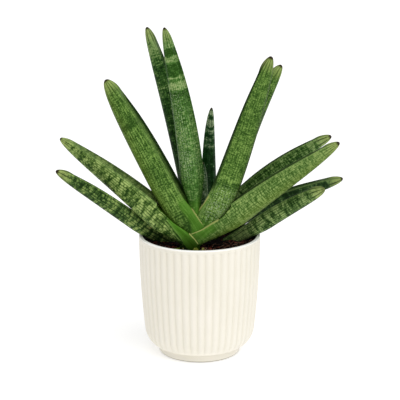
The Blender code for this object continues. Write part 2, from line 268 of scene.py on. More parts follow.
def keep_biggest_piece(mesh):
    """Delete the loose scraps that a cut leaves, and the edges that it leaves without length."""
    solid = bmesh.new()
    solid.from_mesh(mesh)
    unseen = set(solid.verts)
    pieces = []
    while unseen:
        piece = [unseen.pop()]
        for vertex in piece:
            for edge in vertex.link_edges:
                other = edge.other_vert(vertex)
                if other in unseen:
                    unseen.discard(other)
                    piece.append(other)
        pieces.append(piece)
    pieces.sort(key=len)
    scraps = [vertex for piece in pieces[:-1] for vertex in piece]
    bmesh.ops.delete(solid, geom=scraps, context="VERTS")
    bmesh.ops.dissolve_degenerate(solid, dist=SHORTEST_EDGE, edges=solid.edges)
    solid.to_mesh(mesh)
    solid.free()


def smoothstep(value):
    value = np.clip(value, 0.0, 1.0)
    return value * value * (3.0 - 2.0 * value)


# %% [markdown]
# The pot is injection-moulded polypropylene with a matt grain, in a warm cream. Its 48 ribs are round
# with a sharp groove between them, so the mesh needs a dozen points across each rib to shade them
# softly. The same outline as in the solid gives its taper, the corner over the foot and the lip.

# %% Pot dimensions
POT_HEIGHT = 0.140
RIM_RADIUS = 0.070
WALL = 0.0043
FLOOR_TOP = 0.0100
FOOT_RADIUS = 0.0475
FOOT_HEIGHT = 0.0095
FOOT_EDGE = 0.0020
FOOT_HOLLOW = 0.0004
FOOT_RING = 0.0050
NECK_ROUND = 0.0018
SIDE_TAPER = 0.0095
CORNER_WIDTH = 0.0130
CORNER_HEIGHT = 0.0190
CORNER_TOP = FOOT_HEIGHT + CORNER_HEIGHT
LIP_BAND = 0.0028
LIP_ROUND = 0.0011
LIP_START = 0.0036
RIB_COUNT = 48
RIB_DEPTH = 0.0016
RIB_TURN = math.radians(-2.33)
RIB_FADE_LOW = (0.0120, 0.0185)
RIB_FADE_HIGH = 0.0028
POINTS_PER_RIB = 14


def side_radius(height):
    return RIM_RADIUS - SIDE_TAPER * (1.0 - height / POT_HEIGHT) ** 2


def corner_inset(height, start):
    """How far the quarter-ellipse corner draws the wall in, above its start."""
    rise = min(max((height - start) / CORNER_HEIGHT, 0.0), 1.0)
    return CORNER_WIDTH * (1.0 - math.sqrt(1.0 - (1.0 - rise) ** 2))


def inner_radius(height):
    return side_radius(height) - WALL - corner_inset(height, FLOOR_TOP)


# %% Pot outline
def arc(centre, radius, start, end, steps):
    """Points of a rounded edge as (radius from the axis, height), by angles in degrees."""
    angles = [math.radians(start + (end - start) * step / steps) for step in range(steps + 1)]
    return [(centre[0] + radius * math.cos(a), centre[1] + radius * math.sin(a)) for a in angles]


def pot_profile():
    """The outline from the middle of the foot, up the outside, over the lip and down the inside."""
    outline = [(FOOT_RADIUS - FOOT_RING - 0.0010, FOOT_HOLLOW), (FOOT_RADIUS - FOOT_RING, 0.0)]
    outline += arc((FOOT_RADIUS - FOOT_EDGE, FOOT_EDGE), FOOT_EDGE, -90, 0, 6)
    outline += [(FOOT_RADIUS - 0.0002, 0.5 * FOOT_HEIGHT)]
    outline += arc((FOOT_RADIUS + 0.0016, FOOT_HEIGHT - 0.0014), NECK_ROUND, 180, 120, 5)
    corner = [FOOT_HEIGHT + CORNER_HEIGHT * (step / 22) ** 1.6 for step in range(1, 23)]
    wall_height = POT_HEIGHT - LIP_BAND - CORNER_TOP - 0.0010
    wall = [CORNER_TOP + wall_height * (step / 26) for step in range(1, 26)]
    upper = [POT_HEIGHT - LIP_BAND - RIB_FADE_HIGH * (1 - step / 8) for step in range(9)]
    corner = [height for height in corner if height > FOOT_HEIGHT + 0.0007]
    wall = [height for height in wall if height < upper[0] - 0.0010]
    outline += [(side_radius(h) - corner_inset(h, FOOT_HEIGHT), h) for h in corner + wall + upper]
    outline += [(RIM_RADIUS, POT_HEIGHT - LIP_START)]
    outline += arc((RIM_RADIUS - LIP_ROUND, POT_HEIGHT - LIP_ROUND), LIP_ROUND, 0, 90, 6)
    outline += arc((RIM_RADIUS - WALL + LIP_ROUND, POT_HEIGHT - LIP_ROUND), LIP_ROUND, 90, 180, 6)
    inside = (0.134, 0.128, 0.120, 0.080, 0.040, 0.026, 0.018, 0.013, 0.011, FLOOR_TOP + 0.0003)
    return outline + [(inner_radius(height), height) for height in inside]


# %% Pot mesh
# Rings round the foot's bottom edge that take a painted contact shadow
CONTACT_SHADOW_RINGS = 6
# Rings each side of the lip's top that take a painted highlight
LIP_HIGHLIGHT_RINGS = 4


def pot_rings():
    """The ribbed rings, and how deep each point lies in a groove, from 0 to 1."""
    sides = RIB_COUNT * POINTS_PER_RIB
    angles = RIB_TURN + 2 * math.pi * np.arange(sides) / sides
    phase = (np.arange(sides) / POINTS_PER_RIB) % 1.0
    dip = (2.0 * phase - 1.0) ** 2
    dip = dip * (1.0 - 0.12 * dip)
    rings, grooves = [], []
    outline = pot_profile()
    top = max(range(len(outline)), key=lambda i: outline[i][1])
    for place, (radius, height) in enumerate(outline):
        low = smoothstep((height - RIB_FADE_LOW[0]) / (RIB_FADE_LOW[1] - RIB_FADE_LOW[0]))
        high = smoothstep((POT_HEIGHT - LIP_BAND - height) / RIB_FADE_HIGH)
        groove = low * high * dip if place < top else 0.0 * dip
        ring = radius - RIB_DEPTH * groove
        rings.append(np.stack([ring * np.sin(angles), -ring * np.cos(angles), np.full(sides, height)], 1))
        grooves.append(groove)
    return np.array(rings), np.array(grooves)


rings, grooves = pot_rings()
pot_mesh = ring_mesh("ribbed_pot", rings, (0, 0, FOOT_HOLLOW), (0, 0, FLOOR_TOP))
ring_number = np.arange(len(rings))[:, None]
past_lip = ring_number - int(rings[:, 0, 2].argmax())
for layer, values in (
        # groove depth, which darkens the colour as painted shade, with a little dust, in the grooves
        ("groove", grooves),
        # the foot's lowest rings, painted dark as a contact shadow
        ("foot_contact_shadow", (ring_number > 0) & (ring_number <= CONTACT_SHADOW_RINGS)),
        # the rings round the lip, painted whiter as a highlight
        ("lip_highlight", (past_lip >= -LIP_HIGHLIGHT_RINGS - 1) & (past_lip <= LIP_HIGHLIGHT_RINGS)),
        # every ring inside the pot, painted dark as shade
        ("inner_wall_shade", past_lip > LIP_HIGHLIGHT_RINGS)):
    spread = np.broadcast_to(values, grooves.shape).astype(float)
    measured = pot_mesh.attributes.new(layer, "FLOAT", "POINT").data
    measured.foreach_set("value", [*spread.ravel(), 0.0, 0.0])
print("pot", round(2000 * RIM_RADIUS), "mm across, ribs",
      round(2000 * math.pi * RIM_RADIUS / RIB_COUNT, 1), "mm apart")

# %% [markdown]
# Moulded polypropylene is a hard plastic with an index of refraction near 1.49, and its matt tool
# texture spreads every highlight. The eye sees an even cream, with painted shade and a little dust that
# make it darker and warmer in the grooves, a painted highlight on the white lip, a painted contact
# shadow round the foot and painted shade, dark brown, all down the inside. The grain itself is 0.1 mm,
# too fine to show, so it's drawn at 0.6 mm.

# %% Pot finish
GRAIN = 0.6 * MM
BLOTCH = 40 * MM

material, tree = new_material("matt_moulded_polypropylene_cream")
place = add_node(tree, "TexCoord")
blotch = add_node(tree, "TexNoise", {"Vector": (place, "Object"), "Scale": 1 / BLOTCH, "Detail": 3.0})
colour = add_node(tree, "ValToRGB", {"Fac": blotch}, stops=[
    (0.3, linear("ece7d9")), (0.7, linear("f0ebdf"))])
for layer, strength, paint in (
        # painted shade, with a little dust, in the grooves
        ("groove", 0.35, "d6d0bc"),
        # painted contact shadow along the bottom of the foot
        ("foot_contact_shadow", 0.8, "827c60"),
        # painted highlight on the lip
        ("lip_highlight", 1.0, "fdfcf8"),
        # painted shade, dark brown, all down the inside wall
        ("inner_wall_shade", 1.0, "2c1e16")):
    measured = (add_node(tree, "Attribute", attribute_name=layer), "Fac")
    share = add_node(tree, "Math", {0: measured, 1: strength}, operation="MULTIPLY")
    colour = lay_over(tree, colour, share, paint)
grain = add_node(tree, "TexNoise", {"Vector": (place, "Object"), "Scale": 1 / GRAIN, "Detail": 2.0})
matt = add_node(tree, "MapRange", {"Value": grain, "To Min": 0.48, "To Max": 0.60})
relief = add_node(tree, "Bump", {"Height": grain, "Strength": 0.12, "Distance": 0.05 * MM})
finish_material(tree, add_node(tree, "BsdfPrincipled", {
    "Base Color": colour, "Roughness": matt, "Normal": relief, "IOR": 1.49, "Specular IOR Level": 0.35}))
link_piece("ribbed_pot", pot_mesh, material, "pot", sharp_angle=60)

# %% [markdown]
# A sansevieria leaf of this kind is a thick blade, round on its outer side and channelled on the inner
# side, that grows out of a flat sheath clasping its younger neighbours. It could be sculpted, but a
# sweep keeps it exact: a curve for the middle line, and a section that turns from sheath into blade.
# The curves are those of the solids, drawn here with five times as many points round the section.

# %% Leaf curves
BLADE_SECTION = (
    (1.00, 0.00), (0.95, 0.36), (0.74, 0.62), (0.38, 0.44), (0.00, 0.34), (-0.38, 0.44), (-0.74, 0.62),
    (-0.95, 0.36), (-1.00, 0.00), (-0.92, -0.38), (-0.71, -0.71), (-0.38, -0.92), (0.00, -1.00),
    (0.38, -0.92), (0.71, -0.71), (0.92, -0.38))
FINE_STEPS = 5
LEAF_SIDES = len(BLADE_SECTION) * FINE_STEPS
LEAF_RINGS = 150
RING_CROWDING = 1.5
ACROSS_SHARE = 0.82
GIRTH_SHARE = 2.7
SHEATH_ROUNDNESS = 0.62
SHEATH_FADE = 45
NEST_CLEARANCE = 0.0004
CLEARANCE = 0.0003

# %% The leaves, one by one
# The four points of a leaf's curve are in millimetres, as are its widths and its sheath's length.
# squeeze is the share of the outer side's width that is left at the root, and how far up it is back
# to 1. margin is the sheath's free edge in front, as points of x and z. cream is the stretch of those
# points that shows a cream line, cream_line is one that runs beside them instead, and crease is where
# a sheath is folded.
LEAVES = {
    "leaf_front_centre": dict(
        root=(-10, -25, 116), rise=(2, -24, 180), bend=(-9, -20, 271), tip=(-39, -14, 380),
        width=31.5, base_width=12.0, blunt=3.4, clasp=6.8, sheath=75),
    "leaf_front_right_tall": dict(
        root=(-12, -26, 117), rise=(26.5, -26, 182), bend=(48.5, -31, 278), tip=(78, -42, 352),
        width=37.5, base_width=34.0, blunt=2.8, clasp=8.6, sheath=55, squeeze=(0.05, 90),
        cream_line=((10.4, 194.6), (4.6, 185.0), (-1.2, 175.6)),
        margin=((13.9, 206.5), (10.5, 199.6), (1.6, 182.6), (-2.9, 174.5), (-12, 157), (-40, 157))),
    "leaf_front_left_tall": dict(
        root=(13, -26, 117), rise=(-25, -25, 174), bend=(-59, -19, 255), tip=(-105, -8, 321),
        width=38.5, base_width=38.0, blunt=4.2, clasp=10.4, sheath=50, squeeze=(0.3, 55), cream=(2, 7),
        margin=((-14, 197), (-11, 187), (-8.5, 180.2), (-6.3, 176.2), (-2.7, 170.6), (0.9, 165.0),
                (4.8, 160.3), (4, 150), (0, 135), (0, 100), (60, 100))),
    "leaf_front_right_low": dict(
        root=(-20.5, -26, 120.5), rise=(38, -28, 178), bend=(92, -38, 216), tip=(152, -62, 261),
        width=37.5, base_width=37.0, blunt=1.9, clasp=12.1, sheath=35, squeeze=(0.05, 86), cream=(3, 9),
        margin=((35, 184), (27.5, 174), (24, 170.5), (20.6, 167.8), (13.9, 163.7), (9.4, 160.4),
                (3.4, 156.3), (-3.7, 152.9), (-9.9, 150.4), (-13, 148.5), (-13, 100), (-60, 100))),
    "leaf_front_left_low": dict(
        root=(4.5, -27, 120.5), rise=(-28, -27, 160), bend=(-87, -22, 210), tip=(-159, 8, 251),
        width=40.5, base_width=27.0, blunt=1.9, clasp=13.8, sheath=42, squeeze=(0.24, 84), cream=(6, 9),
        crease=((-37, 165.5), (-36, 164), (-22, 145.5)),
        margin=((-48, 183), (-44, 178), (-35, 169.5), (-28.7, 163.6), (-21.7, 158.7), (-16.3, 155.3),
                (-10.8, 150.9), (-4.5, 144.5), (-1.2, 139.9), (-3, 135), (-6, 130), (-6, 126), (40, 126))),
    "leaf_middle_young": dict(
        root=(3, 11, 117), rise=(4, 10, 166), bend=(4, 9, 200), tip=(3, 8, 224),
        width=17.0, base_width=12.0, blunt=3.0, clasp=6.0, sheath=30),
    "leaf_middle_right_tall": dict(
        root=(5, 13, 117), rise=(34, 14, 188), bend=(45, 17, 268), tip=(93, 22, 333),
        width=30.0, base_width=20.0, blunt=4.6, clasp=8.5, sheath=45),
    "leaf_middle_left_tall": dict(
        root=(3, 14, 118), rise=(-12, 15, 205), bend=(-29, 21, 297), tip=(-60, 30, 375),
        width=25.5, base_width=21.0, blunt=4.5, clasp=10.5, sheath=40),
    "leaf_middle_left_low": dict(
        root=(-18, 8, 117), rise=(-71, -5, 154), bend=(-112, -25, 197), tip=(-158, -52, 227),
        width=23.6, base_width=16.0, blunt=3.9, clasp=8.0, sheath=25, squeeze=(1.15, 80)),
    "leaf_middle_right_low": dict(
        root=(20, 13, 117), rise=(69, -4, 154.2), bend=(105, -14, 185), tip=(139, -44, 204.5),
        width=24.6, base_width=14.0, blunt=4.2, clasp=8.0, sheath=25, squeeze=(1.2, 80)),
    "leaf_back_young": dict(
        root=(11, 39, 118), rise=(13, 40, 172), bend=(8, 41, 226), tip=(14, 44, 280),
        width=21.0, base_width=13.0, blunt=2.7, clasp=6.5, sheath=30),
    "leaf_back_right_upper": dict(
        root=(13, 38, 118), rise=(27, 34, 176), bend=(95, 27, 224), tip=(151, 16, 252),
        width=23.0, base_width=20.0, blunt=5.0, clasp=8.5, sheath=40),
    "leaf_back_right_lower": dict(
        root=(20, 38, 117), rise=(38, 39, 161), bend=(120, 39, 183), tip=(168, 37, 197),
        width=22.6, base_width=18.0, blunt=3.8, clasp=8.8, sheath=40),
}

# The fans, each from its innermost leaf outwards. A sheath is wrapped round those named before it.
FANS = (
    ("leaf_front_centre", "leaf_front_right_tall", "leaf_front_left_tall", "leaf_front_right_low",
     "leaf_front_left_low"),
    ("leaf_middle_young", "leaf_middle_right_tall", "leaf_middle_left_tall", "leaf_middle_left_low",
     "leaf_middle_right_low"),
    ("leaf_back_young", "leaf_back_right_upper", "leaf_back_right_lower"),
)
print("leaves:", sum(len(fan) for fan in FANS), "in", len(FANS), "fans")

# %% [markdown]
# The channel closes before the tip, as in the solids. One detail is finer than there: the free edge of
# a sheath thins out to the 1 mm cartilage line that shows cream.

# %% Leaf mesh
ROUND_END = 8
ROUND_FADE = 30
ROOT_OVERSHOOT = 5.0


def closed_spline(points, steps):
    """A smooth closed curve through points, with the same number of steps between each pair."""
    points = np.array(points)
    before, after, beyond = (np.roll(points, shift, axis=0) for shift in (1, -1, -2))
    rows = []
    for step in range(steps):
        t = step / steps
        rows.append(points + 0.5 * t * (
            after - before + t * (2 * before - 5 * points + 4 * after - beyond
                                  + t * (3 * (points - after) + beyond - before))))
    return np.stack(rows, axis=1).reshape(-1, 2)


BLADE = closed_spline(BLADE_SECTION, FINE_STEPS)
TURNS = 2 * math.pi * np.arange(LEAF_SIDES) / LEAF_SIDES
SHEATH = np.stack([np.sign(f(TURNS)) * np.abs(f(TURNS)) ** SHEATH_ROUNDNESS for f in (np.cos, np.sin)], 1)
ROUND_TIP = np.where(BLADE[:, 1:] > 0, np.stack([np.cos(TURNS), np.sin(TURNS)], 1), BLADE)


def unit(vectors):
    return vectors / np.linalg.norm(vectors, axis=-1, keepdims=True)


def leaf_line(leaf, t):
    """Points of a leaf's middle line, and its directions along, across the fan and inwards."""
    root, rise, bend, tip = (np.array(leaf[key], dtype=float) for key in ("root", "rise", "bend", "tip"))
    t = np.asarray(t)[:, None]
    s = 1.0 - t
    middle = root * s ** 3 + rise * 3 * s * s * t + bend * 3 * s * t * t + tip * t ** 3
    along = unit((rise - root) * s * s + (bend - rise) * 2 * s * t + (tip - bend) * t * t)
    lean = unit(np.array([tip[0] - root[0], tip[1] - root[1], 0.0]))
    inner = unit(np.cross(along, np.cross([0.0, 0.0, 1.0], lean)))
    return middle * MM, along, np.cross(inner, along), inner


def leaf_length(leaf):
    middle = leaf_line(leaf, np.linspace(0, 1, 60))[0]
    return float(np.linalg.norm(np.diff(middle, axis=0), axis=1).sum() / MM)


def leaf_girth(leaf):
    return GIRTH_SHARE * leaf["width"]


def leaf_mesh(name, grow=0.0):
    """Sweep the section from root to tip. grow makes the same leaf a little fatter, to cut with."""
    leaf = LEAVES[name]
    length = leaf_length(leaf)
    t = 1.0 - (1.0 - np.arange(LEAF_RINGS) / LEAF_RINGS) ** RING_CROWDING
    middle, along, across, inner = leaf_line(leaf, t)
    if grow:
        middle[0] -= along[0] * ROOT_OVERSHOOT * grow
    reach = np.linalg.norm(np.diff(middle, axis=0, prepend=middle[:1]), axis=1).cumsum() / MM
    fullness = 0.5 * MM * np.sqrt(1.0 - t ** leaf["blunt"])
    blade = smoothstep((t * length - leaf["sheath"]) / SHEATH_FADE)
    sheath = 1.0 - blade
    half_across = fullness * (2 * leaf["clasp"] * sheath + ACROSS_SHARE * leaf["width"] * blade) + grow
    half_inner = fullness * (leaf["base_width"] * sheath + leaf["width"] * blade)
    left_at_root, squeeze_end = leaf.get("squeeze", (1.0, 1.0))
    half_outer = half_inner * (left_at_root + (1.0 - left_at_root) * smoothstep(t * length / squeeze_end))
    channel = smoothstep((length - reach - ROUND_END) / ROUND_FADE)[:, None, None]
    shape = ROUND_TIP * (1 - channel) + BLADE * channel
    shape = SHEATH * sheath[:, None, None] + shape * blade[:, None, None]
    half_wide = np.where(shape[..., 1] > 0, half_inner[:, None], half_outer[:, None]) + grow
    rings = (middle[:, None] + across[:, None] * (half_across[:, None] * shape[..., 0])[..., None]
             + inner[:, None] * (half_wide * shape[..., 1])[..., None])
    ends = leaf_line(leaf, [0.0, 1.0])
    first_pole = ends[0][0] - ends[1][0] * ROOT_OVERSHOOT * grow
    last_pole = ends[0][1] + ends[1][1] * grow
    # The seam of the skin map lies in the middle of the channel, a quarter of a turn on
    rings = np.roll(rings, -(LEAF_SIDES // 4), axis=1)
    around = (np.arange(LEAF_SIDES) / LEAF_SIDES - 0.5) * leaf_girth(leaf)
    mesh = ring_mesh(name, rings, first_pole, last_pole)
    write_skin_map(mesh, around, [0.0, *reach, length])
    return mesh


# %% Sheath edges
NOTCH_TOP = 0.300
NOTCH_FRONT = -0.080
NOTCH_BACK = 0.030
EDGE_THINNING = 0.8 * MM
EDGE_REACH = 2.2
CREASE_DEPTH = 1.1 * MM
CREASE_REACH = 1.6
ON_SURFACE = 0.05 * MM
NOWHERE = ((-999, 999), (-998, 999))


def notch_mesh(margin):
    """A prism over a sheath's free edge, which takes away all of the sheath above that edge."""
    outline = [(x * MM, z * MM) for x, z in margin]
    outline += [(margin[-1][0] * MM, NOTCH_TOP), (margin[0][0] * MM, NOTCH_TOP)]
    notch = bmesh.new()
    front, back = ([notch.verts.new((x, y, z)) for x, z in outline] for y in (NOTCH_FRONT, NOTCH_BACK))
    notch.faces.new(front)
    notch.faces.new(back[::-1])
    for index in range(len(outline)):
        following = (index + 1) % len(outline)
        notch.faces.new((front[index], back[index], back[following], front[following]))
    bmesh.ops.recalc_face_normals(notch, faces=notch.faces)
    bmesh.ops.triangulate(notch, faces=notch.faces)
    mesh = bpy.data.meshes.new("notch")
    notch.to_mesh(mesh)
    notch.free()
    return mesh


def distance_to_line(points, line):
    """How far each of many points is from a bent line, all in two dimensions."""
    best = np.full(len(points), 99.0)
    for start, end in zip(line, line[1:]):
        start, end = np.array(start, dtype=float), np.array(end, dtype=float)
        share = np.clip((points - start) @ (end - start) / ((end - start) @ (end - start)), 0, 1)
        best = np.minimum(best, np.linalg.norm(points - start - share[:, None] * (end - start), axis=1))
    return best


def smooth_share(distance, reach):
    return (1.0 - np.clip(distance / reach, 0.0, 1.0)) ** 2


def mark_edges(mesh, leaf, uncut):
    """Thin the sheath towards its free edge, fold it, and write the distances from each edge in mm."""
    flat = np.array([(vertex.co.x, vertex.co.z) for vertex in mesh.vertices]) / MM
    margin = leaf.get("margin", NOWHERE)
    crease = leaf.get("crease", NOWHERE)
    first, last = leaf.get("cream", (0, 2))
    run = unit(np.subtract(crease[-1], crease[0]).astype(float))
    side = (flat - crease[0]) @ np.array([-run[1], run[0]])
    distances = {
        "free_edge": distance_to_line(flat, margin),
        "cream_edge": distance_to_line(flat, leaf.get("cream_line", margin[first:last])),
        "crease": distance_to_line(flat, crease) * np.where(side > 0, 1.0, -1.0)}
    for name, values in distances.items():
        mesh.attributes.new(name, "FLOAT", "POINT").data.foreach_set("value", np.clip(values, -99, 99))
    sunk = EDGE_THINNING * smooth_share(distances["free_edge"], EDGE_REACH)
    sunk += CREASE_DEPTH * smooth_share(np.abs(distances["crease"]), CREASE_REACH)
    for index in np.flatnonzero(sunk > 0.0):
        vertex = mesh.vertices[index]
        _, normal, _, gap = uncut.find_nearest(vertex.co)
        if gap < ON_SURFACE and normal.y < 0.0:
            vertex.co -= normal * sunk[index]


def search_tree(mesh):
    return BVHTree.FromPolygons([v.co for v in mesh.vertices], [f.vertices for f in mesh.polygons])


def build_leaf(name, inner_names):
    """Cut the younger leaves and the notch over the free edge out of a leaf, and finish its edges."""
    leaf = LEAVES[name]
    uncut_mesh = leaf_mesh(name)
    uncut = search_tree(uncut_mesh)
    cutters = [leaf_mesh(inner, grow=NEST_CLEARANCE) for inner in inner_names]
    if "margin" in leaf:
        cutters.append(notch_mesh(leaf["margin"]))
    mesh = cut_away(uncut_mesh, cutters)
    mark_edges(mesh, leaf, uncut)
    return mesh


# %% [markdown]
# The leaf skin is a waxy cuticle over bands of dark and pale tissue. Fine dark lines run along the
# blade about 3 mm apart, and between them the pale tissue sits in short cells, so the bands look like
# brickwork. Painting it by hand would take a picture; here it is worked out from the distance along and
# round the leaf, and only the place of the broad bands is taken from the photo.

# %% Leaf looks
# Four kinds of marking. The colours are the tissue's, from dark to pale, and that of the lines, which
# lie gap mm apart. The other amounts say how strong the lines are, and how much of the contrast comes
# from bands, cells, fine streaks, fine cross marks and grain.
CALM = dict(deep="284614", mid="4b6e2a", pale="7c9c4c", line="24400f", gap=3.2, lines=0.55,
            band=0.06, cell=0.06, streak=0.32, cross=0.18, grain=0.34)
BRICK = dict(deep="223e10", mid="5c7836", pale="9eb468", line="20380f", gap=3.4, lines=0.85,
             band=0.20, cell=0.22, streak=0.10, cross=0.14, grain=0.16)
FINE = dict(deep="34521a", mid="587838", pale="92aa60", line="26440f", gap=2.9, lines=0.60,
            band=0.08, cell=0.14, streak=0.12, cross=0.26, grain=0.18)
DARK = dict(deep="12300a", mid="325820", pale="86a060", line="0a2206", gap=3.0, lines=0.60,
            band=0.10, cell=0.14, streak=0.14, cross=0.18, grain=0.16)

# What each leaf adds: smooth is how far its plain sheath reaches from the root and from the free edge,
# and up to where along the leaf. tones lists how pale the bands are, by millimetres from the tip, and
# waver is how uneven their edges are, in mm. flecks lists zones of white specks by their distance from
# the tip, with their strength. channel, far_line, near_line, rim, keel, tip and cap turn up or down the
# painted shade in the channel, the painted shade lines on the far and near rim, the painted highlight
# on the rims, the painted shade along the keel, the pale tip and its brown point, and olive adds a
# yellow tan to the outer side.
LOOKS = {
    "leaf_front_centre": dict(
        DARK, deep="24470f", mid="4c7832", pale="9cb272", line="1c3a10", smooth=(66, 0, 50), rim=0.0,
        channel=0.0, far_line=0.3, waver=1.2, band=0.03, cell=0.10,
        flecks=((66, 178, 0.50), (134, 162, 0.60)),
        tones=((0, 0.55), (22, 0.60), (25, 0.10), (31, 0.10), (33, 0.66), (39, 0.58), (41, 0.12),
               (54, 0.15), (56, 0.80), (60, 0.25), (62, 0.82), (69, 0.74), (72, 0.12), (80, 0.34),
               (125, 0.50), (150, 0.44), (190, 0.40), (215, 0.24), (260, 0.20))),
    "leaf_front_right_tall": dict(
        CALM, smooth=(46, 3, 80), near_line=0.9, cross=0.22, streak=0.18,
        flecks=((148, 206, 0.55), (170, 196, 0.50)),
        tones=((0, 0.62), (18, 0.55), (35, 0.50), (90, 0.45), (108, 0.62), (125, 0.42), (140, 0.50),
               (146, 0.85), (151, 0.22), (160, 0.58), (182, 0.68), (196, 0.50), (230, 0.30))),
    "leaf_front_left_tall": dict(
        CALM, smooth=(30, 12, 80), channel=0.20, far_line=0.9, rim=0.6, olive=0.30,
        tones=((0, 0.85), (14, 0.62), (30, 0.42), (50, 0.44), (58, 0.12), (66, 0.52), (100, 0.52),
               (118, 0.34), (140, 0.58), (160, 0.58), (178, 0.40), (195, 0.10), (230, 0.05))),
    "leaf_front_right_low": dict(
        FINE, smooth=(30, 9, 56), olive=0.35,
        tones=((0, 0.80), (18, 0.75), (40, 0.55), (90, 0.50), (130, 0.58), (160, 0.45), (190, 0.42))),
    "leaf_front_left_low": dict(
        BRICK, smooth=(22, 2, 40), channel=0.20, far_line=0.3,
        tones=((0, 0.75), (16, 0.66), (34, 0.38), (58, 0.60), (75, 0.42), (92, 0.66), (108, 0.42),
               (125, 0.62), (150, 0.48), (166, 0.40), (185, 0.10))),
    "leaf_middle_young": dict(
        DARK, deep="1c3814", mid="48693c", pale="92a284", line="22402a", smooth=(20, 0, 10),
        keel=0.0, tip=0.0, flecks=((0, 90, 0.80),),
        tones=((0, 0.05), (10, 0.15), (22, 0.60), (45, 0.55), (80, 0.60), (120, 0.40))),
    "leaf_middle_right_tall": dict(
        CALM, deep="24420f", mid="416424", smooth=(40, 0, 20), rim=1.6,
        tones=((0, 0.75), (20, 0.55), (60, 0.35), (120, 0.30), (200, 0.30))),
    "leaf_middle_left_tall": dict(
        DARK, mid="3a6226", smooth=(30, 0, 20), rim=0.0,
        tones=((0, 0.80), (30, 0.80), (38, 0.42), (60, 0.34), (75, 0.50), (90, 0.28), (150, 0.20),
               (260, 0.10))),
    "leaf_middle_left_low": dict(
        BRICK, deep="1c340f", mid="47652e", pale="8ba158", line="142a0a", smooth=(8, 0, 8),
        tones=((0, 0.80), (14, 0.65), (26, 0.30), (40, 0.50), (56, 0.25), (78, 0.58), (95, 0.38),
               (115, 0.60), (150, 0.48), (190, 0.35))),
    "leaf_middle_right_low": dict(
        BRICK, deep="223e12", mid="56743a", pale="94ac68", line="16300c", smooth=(8, 0, 8), cap=0.4,
        gap=2.9, cell=0.16, cross=0.24,
        tones=((0, 0.85), (12, 0.65), (30, 0.50), (48, 0.32), (66, 0.62), (85, 0.50), (120, 0.72),
               (170, 0.66))),
    "leaf_back_young": dict(
        DARK, deep="10340f", mid="2c5a2c", pale="a8ba90", smooth=(20, 0, 10), channel=0.0, keel=0.0,
        tip=0.0, rim=0.0, far_line=0.0, waver=1.2, cell=0.06,
        tones=((0, 0.10), (4, 0.50), (7, 0.85), (12, 0.35), (15, 0.90), (21, 0.85), (23, 0.20),
               (26, 0.80), (29, 0.55), (32, 0.15), (36, 0.60), (40, 0.20), (45, 0.55), (50, 0.20),
               (90, 0.22), (130, 0.45))),
    "leaf_back_right_upper": dict(
        DARK, mid="3c5e24", smooth=(20, 0, 20),
        tones=((0, 0.85), (16, 0.75), (40, 0.46), (62, 0.52), (90, 0.46), (120, 0.60), (160, 0.62))),
    "leaf_back_right_lower": dict(
        BRICK, deep="142a0e", mid="304c26", pale="667f48", line="10240a", smooth=(20, 0, 20), cell=0.14,
        tones=((0, 0.95), (12, 0.80), (22, 0.40), (45, 0.28), (60, 0.18), (160, 0.15))),
}

# %% Leaf colours
BASE_GREEN = "3c6a12"
BASE_LIGHT = "58882e"
# Painted shade on the sheath where it enters the soil
SHEATH_ROOT_SHADE = "223c02"
TIP_PALE = "9ca862"
TIP_BROWN = "2a200a"
EDGE_CREAM = "9ca45e"
# Painted highlight along the rims of the channel
RIM_HIGHLIGHT = "86a45c"
# Painted shade inside the channel
CHANNEL_SHADE = "14300f"
# Painted shade along the keel, on the leaf's underside
KEEL_SHADE = "2c3410"
SUN_OLIVE = "60701a"
FLECK_WHITE = "b4c69c"
# Painted highlight on the ridge beside a sheath's fold
RIDGE_HIGHLIGHT = "7c9e50"
SHADOW_GREEN = "0c2406"

# %% [markdown]
# A skin is built up in layers, as a painter works: the banded tissue first, then the flecks, the dark
# lines, the painted highlight and shade of the rims and the channel, then the sheath with its painted
# shade, the tip and the cream edge. A layer is a share, from 0 to 1 over the surface, and a colour. All
# of them ask the same things of a leaf, so one class holds its node tree, where a point of its skin lies,
# and the few sums and noises that the layers need.

# %% Places on a leaf's skin
# For each noise, the size of its spots in millimetres round and along the leaf, how much detail they
# have, and a shift that sets it apart from the others.
NOISES = {
    "line_wobble": (16.0, 40.0, 2.0, 0.0),
    "line_breaks": (4.0, 18.0, 2.0, 3.0),
    "tone_waver": (9.0, 30.0, 2.0, 5.0),
    "band_waver": (24.0, 20.0, 1.0, 7.0),
    "blotches": (14.0, 9.0, 1.0, 9.0),
    "streaks": (1.6, 12.0, 1.0, 11.0),
    "cross_marks": (7.0, 1.6, 1.0, 13.0),
    "grain": (1.3, 1.6, 1.0, 17.0),
    "flecks": (1.3, 1.9, 1.0, 0.0),
    "sheath_streaks": (1.6, 50.0, 2.0, 23.0),
    "sheath_waver": (6.0, 16.0, 2.0, 29.0),
    "swells": (2.5, 6.0, 3.0, 31.0)}


